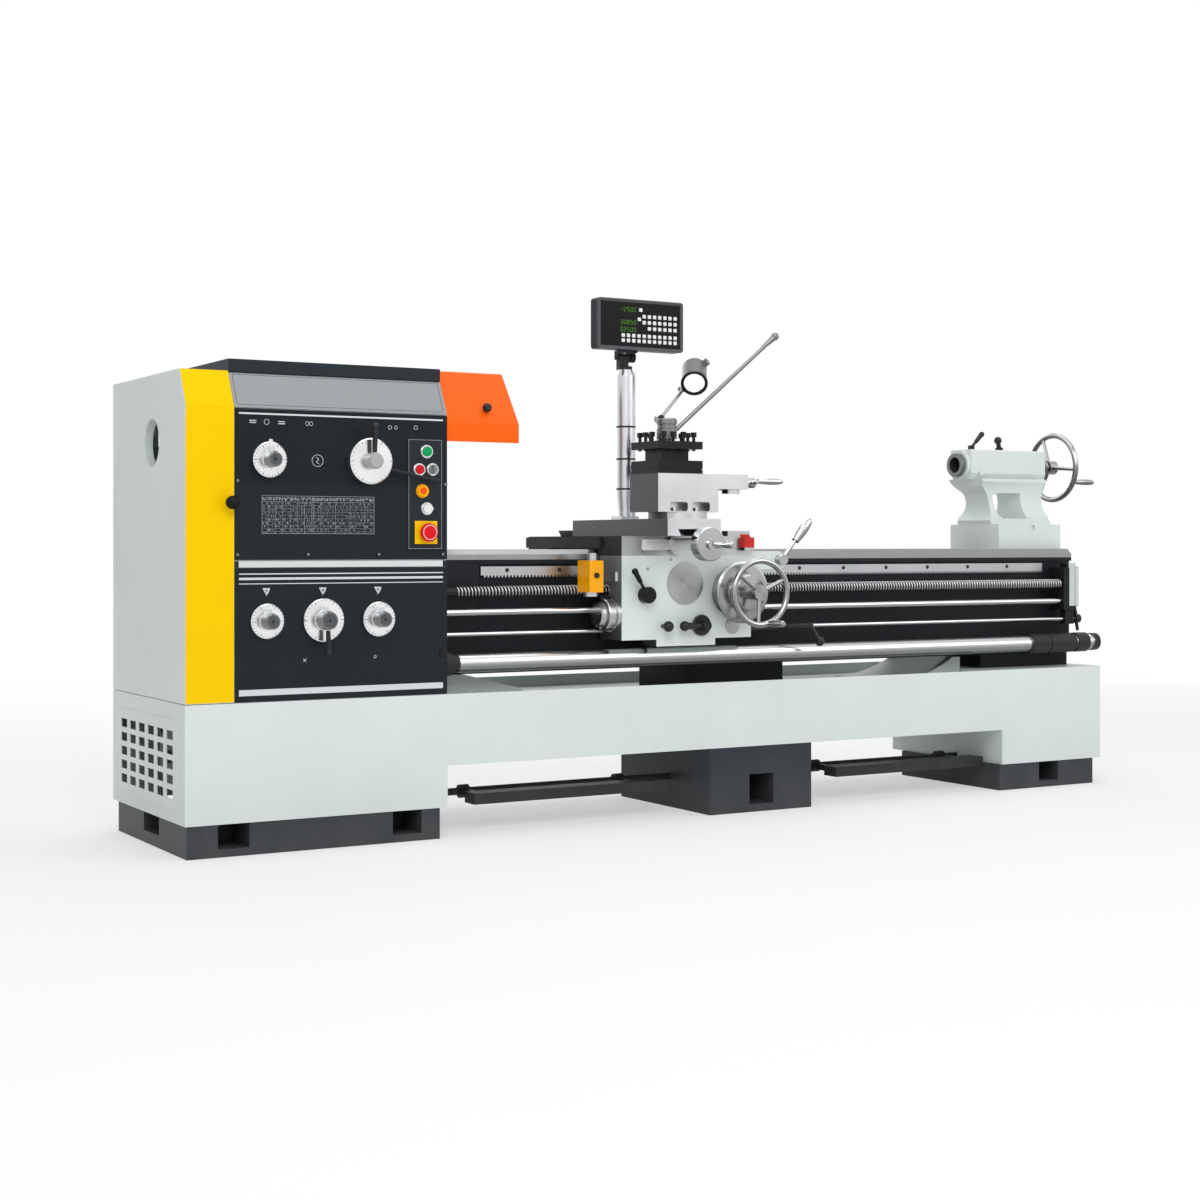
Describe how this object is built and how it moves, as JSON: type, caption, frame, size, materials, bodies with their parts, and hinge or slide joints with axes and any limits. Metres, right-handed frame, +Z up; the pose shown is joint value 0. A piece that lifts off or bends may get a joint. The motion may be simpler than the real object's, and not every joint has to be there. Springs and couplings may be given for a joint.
{
  "type": "engine lathe",
  "caption": "Gap-bed engine lathe with enclosed headstock, carriage with four-way tool post, swing-up chuck guard, tailstock, digital readout, chip tray and foot brake on a cast stand.",
  "frame": {"origin": "on the floor under the spindle axis, at the middle of the middle pedestal's underside line", "axes": "+X along the bed from headstock to tailstock, parallel to the spindle axis; +Y away from the operator; +Z up"},
  "size_m": [3.793, 1.024, 1.746],
  "materials": {
    "aluminium": "brushed",
    "amber": "gloss paint",
    "black": "gloss",
    "blackened": "black oxide",
    "charcoal": "semi-gloss paint",
    "chrome": "polished",
    "green": "gloss",
    "iron": "machined and oiled",
    "jog": "gloss",
    "light_grey": "semi-gloss paint",
    "orange": "gloss paint",
    "red": "gloss",
    "slate": "satin paint",
    "steel": "ground",
    "white": "gloss",
    "yellow": "gloss paint"
  },
  "bodies": {
    "machine": {"floor_plinths": "slate", "headstock_base": "light_grey", "main_motor": "slate", "end_drive": "iron", "headstock_casing": "light_grey", "front_panels": "charcoal", "fascia": "aluminium", "top_cover": "charcoal", "bed": "slate", "rack": "steel", "end_bracket": "charcoal", "guard_rail": "chrome", "chip_tray": "light_grey", "end_cabinet": "light_grey"},
    "end_cover": {"end_cover": "light_grey", "cover_trim": "yellow"},
    "spindle": {"spindle": "steel"},
    "chuck_guard": {"chuck_guard": "orange"},
    "range_knob": {"range_knob": "aluminium"},
    "speed_ring": {"speed_ring": "aluminium"},
    "speed_lever": {"speed_lever": "black"},
    "feed_knob_left": {"feed_knob_left": "aluminium"},
    "feed_knob_centre": {"feed_knob_centre": "aluminium"},
    "feed_knob_right": {"feed_knob_right": "aluminium"},
    "start_button": {"start_button": "green"},
    "stop_button": {"stop_button": "red"},
    "mode_switch": {"mode_switch": "black"},
    "jog_button": {"jog_button": "jog"},
    "coolant_button": {"coolant_button": "white"},
    "emergency_button": {"emergency_button": "red"},
    "leadscrew": {"leadscrew": "steel"},
    "feed_rod": {"feed_rod": "chrome"},
    "control_rod": {"control_rod": "chrome"},
    "brake_pedal": {"brake_pedal": "charcoal"},
    "carriage": {"saddle": "iron", "apron": "light_grey", "apron_covers": "aluminium", "thread_dial": "amber"},
    "apron_handwheel": {"apron_handwheel": "aluminium"},
    "half_nut_lever": {"half_nut_lever": "blackened"},
    "feed_knob": {"feed_knob": "black"},
    "feed_lever": {"feed_lever": "blackened"},
    "engage_lever": {"engage_lever": "chrome"},
    "control_lever": {"control_lever": "black"},
    "cross_slide": {"cross_slide": "steel", "readout_column": "steel"},
    "cross_crank": {"cross_crank": "steel"},
    "compound": {"compound_base": "steel"},
    "top_slide": {"top_slide": "steel"},
    "top_crank": {"top_crank": "chrome"},
    "tool_post": {"tool_post": "blackened"},
    "clamp_lever": {"clamp_lever": "chrome"},
    "readout": {"readout": "slate"},
    "lamp_arm": {"lamp_arm": "chrome"},
    "lamp_head": {"lamp_head": "slate"},
    "tailstock": {"tailstock_body": "light_grey"},
    "quill": {"quill": "iron"},
    "tail_handwheel": {"tail_handwheel": "chrome"},
    "quill_lock": {"quill_lock": "black"},
    "tail_clamp": {"tail_clamp": "black"}
  },
  "joints": [
    {"name": "end_cover_hinge", "type": "hinge", "parent": "machine", "child": "end_cover", "pos_m": [-1.887, 0.405, 0.9], "axis": [0, 0, 1], "range_deg": [-100, 0]},
    {"name": "spindle_turn", "type": "hinge", "parent": "machine", "child": "spindle", "pos_m": [-1.5, 0, 1.222], "axis": [1, 0, 0], "continuous": true},
    {"name": "guard_lift", "type": "hinge", "parent": "machine", "child": "chuck_guard", "pos_m": [-1.051, 0.075, 1.457], "axis": [1, 0, 0], "range_deg": [-100, 0]},
    {"name": "range_turn", "type": "hinge", "parent": "machine", "child": "range_knob", "pos_m": [-1.783, -0.315, 1.164], "axis": [0, 1, 0], "range_deg": [-60, 60]},
    {"name": "speed_ring_turn", "type": "hinge", "parent": "machine", "child": "speed_ring", "pos_m": [-1.464, -0.315, 1.166], "axis": [0, 1, 0], "range_deg": [-25, 25]},
    {"name": "speed_lever_turn", "type": "hinge", "parent": "machine", "child": "speed_lever", "pos_m": [-1.464, -0.35, 1.166], "axis": [0, 1, 0], "range_deg": [-40, 40]},
    {"name": "feed_left_turn", "type": "hinge", "parent": "machine", "child": "feed_knob_left", "pos_m": [-1.788, -0.315, 0.687], "axis": [0, 1, 0], "range_deg": [-60, 60]},
    {"name": "feed_centre_turn", "type": "hinge", "parent": "machine", "child": "feed_knob_centre", "pos_m": [-1.61, -0.315, 0.687], "axis": [0, 1, 0], "range_deg": [-60, 60]},
    {"name": "feed_right_turn", "type": "hinge", "parent": "machine", "child": "feed_knob_right", "pos_m": [-1.43, -0.315, 0.687], "axis": [0, 1, 0], "range_deg": [-60, 60]},
    {"name": "start_press", "type": "slide", "parent": "machine", "child": "start_button", "axis": [0, 1, 0], "range_m": [0, 0.003], "stiffness_N_per_m": 400, "springref_m": -0.001},
    {"name": "stop_press", "type": "slide", "parent": "machine", "child": "stop_button", "axis": [0, 1, 0], "range_m": [0, 0.003], "stiffness_N_per_m": 400, "springref_m": -0.001},
    {"name": "jog_press", "type": "slide", "parent": "machine", "child": "jog_button", "axis": [0, 1, 0], "range_m": [0, 0.003], "stiffness_N_per_m": 400, "springref_m": -0.001},
    {"name": "coolant_press", "type": "slide", "parent": "machine", "child": "coolant_button", "axis": [0, 1, 0], "range_m": [0, 0.003], "stiffness_N_per_m": 400, "springref_m": -0.001},
    {"name": "emergency_press", "type": "slide", "parent": "machine", "child": "emergency_button", "axis": [0, 1, 0], "range_m": [0, 0.006], "stiffness_N_per_m": 600, "springref_m": -0.001},
    {"name": "mode_turn", "type": "hinge", "parent": "machine", "child": "mode_switch", "pos_m": [-1.247, -0.315, 1.146], "axis": [0, 1, 0], "range_deg": [-45, 45]},
    {"name": "leadscrew_turn", "type": "hinge", "parent": "machine", "child": "leadscrew", "pos_m": [0, -0.245, 0.764], "axis": [1, 0, 0], "continuous": true},
    {"name": "feed_rod_turn", "type": "hinge", "parent": "machine", "child": "feed_rod", "pos_m": [0, -0.245, 0.698], "axis": [1, 0, 0], "continuous": true},
    {"name": "control_rod_turn", "type": "hinge", "parent": "machine", "child": "control_rod", "pos_m": [0, -0.245, 0.629], "axis": [1, 0, 0], "range_deg": [-12, 12]},
    {"name": "brake_press", "type": "hinge", "parent": "machine", "child": "brake_pedal", "pos_m": [0, -0.053, 0.106], "axis": [1, 0, 0], "range_deg": [0, 8], "stiffness_Nm_per_rad": 250, "springref_deg": -11.46},
    {"name": "carriage_slide", "type": "slide", "parent": "machine", "child": "carriage", "axis": [1, 0, 0], "range_m": [-0.3, 0.9]},
    {"name": "apron_wheel_turn", "type": "hinge", "parent": "carriage", "child": "apron_handwheel", "pos_m": [-0.14, -0.34, 0.754], "axis": [0, 1, 0], "range_deg": [-1090, 3250]},
    {"name": "half_nut_turn", "type": "hinge", "parent": "carriage", "child": "half_nut_lever", "pos_m": [-0.4895, -0.34, 0.748], "axis": [0, 1, 0], "range_deg": [0, 40]},
    {"name": "feed_knob_pull", "type": "slide", "parent": "carriage", "child": "feed_knob", "axis": [0, -1, 0], "range_m": [0, 0.012]},
    {"name": "feed_lever_turn", "type": "hinge", "parent": "carriage", "child": "feed_lever", "pos_m": [-0.268, -0.34, 0.644], "axis": [0, 1, 0], "range_deg": [-30, 30]},
    {"name": "engage_turn", "type": "hinge", "parent": "carriage", "child": "engage_lever", "pos_m": [0.0545, -0.34, 0.862], "axis": [0, 1, 0], "range_deg": [-20, 20]},
    {"name": "control_turn", "type": "hinge", "parent": "carriage", "child": "control_lever", "pos_m": [0.0245, -0.245, 0.629], "axis": [1, 0, 0], "range_deg": [-12, 12]},
    {"name": "cross_slide_travel", "type": "slide", "parent": "carriage", "child": "cross_slide", "axis": [0, 1, 0], "range_m": [-0.01, 0.25]},
    {"name": "cross_crank_turn", "type": "hinge", "parent": "carriage", "child": "cross_crank", "pos_m": [-0.367, -0.34, 0.915], "axis": [0, 1, 0], "range_deg": [-730, 18010]},
    {"name": "compound_swivel", "type": "hinge", "parent": "cross_slide", "child": "compound", "pos_m": [-0.352, -0.329, 0.998], "axis": [0, 0, 1], "range_deg": [-30, 20]},
    {"name": "top_slide_travel", "type": "slide", "parent": "compound", "child": "top_slide", "axis": [1, 0, 0], "range_m": [-0.09, 0.05]},
    {"name": "top_crank_turn", "type": "hinge", "parent": "top_slide", "child": "top_crank", "pos_m": [-0.128, -0.325, 1.1241], "axis": [1, 0, 0], "range_deg": [-6490, 3611]},
    {"name": "tool_post_turn", "type": "hinge", "parent": "top_slide", "child": "tool_post", "pos_m": [-0.395, -0.329, 1.147], "axis": [0, 0, 1], "range_deg": [-90, 90]},
    {"name": "clamp_turn", "type": "hinge", "parent": "top_slide", "child": "clamp_lever", "pos_m": [-0.395, -0.329, 1.253], "axis": [0, 0, 1], "range_deg": [-60, 0]},
    {"name": "readout_tilt", "type": "hinge", "parent": "cross_slide", "child": "readout", "pos_m": [-0.415, -0.078, 1.556], "axis": [1, 0, 0], "range_deg": [-10, 12]},
    {"name": "lamp_swing", "type": "hinge", "parent": "cross_slide", "child": "lamp_arm", "pos_m": [-0.296, -0.104, 0.998], "axis": [0, 0, 1], "range_deg": [-30, 50]},
    {"name": "lamp_tilt", "type": "hinge", "parent": "lamp_arm", "child": "lamp_head", "pos_m": [-0.182, -0.104, 1.455], "axis": [0, 1, 0], "range_deg": [-30, 30]},
    {"name": "tailstock_travel", "type": "slide", "parent": "machine", "child": "tailstock", "axis": [1, 0, 0], "range_m": [-0.9, 0]},
    {"name": "quill_travel", "type": "slide", "parent": "tailstock", "child": "quill", "axis": [1, 0, 0], "range_m": [-0.1505, 0]},
    {"name": "tail_wheel_turn", "type": "hinge", "parent": "tailstock", "child": "tail_handwheel", "pos_m": [1.549, 0, 1.222], "axis": [1, 0, 0], "range_deg": [-10800, 0]},
    {"name": "quill_lock_turn", "type": "hinge", "parent": "tailstock", "child": "quill_lock", "pos_m": [1.2, -0.022, 1.282], "axis": [0, 0, 1], "range_deg": [-45, 45]},
    {"name": "tail_clamp_turn", "type": "hinge", "parent": "tailstock", "child": "tail_clamp", "pos_m": [1.345, -0.02, 1.282], "axis": [0, 0, 1], "range_deg": [-45, 45]}
  ],
  "couplings": [
    {"joint": "control_rod_turn", "follows": "control_turn", "ratio": 1},
    {"joint": "apron_wheel_turn", "follows": "carriage_slide", "rad_per_m": 62.832},
    {"joint": "quill_travel", "follows": "tail_wheel_turn", "m_per_rad": 0.00079577},
    {"joint": "cross_crank_turn", "follows": "cross_slide_travel", "rad_per_m": 1256.6},
    {"joint": "top_crank_turn", "follows": "top_slide_travel", "rad_per_m": 1256.6}
  ]
}
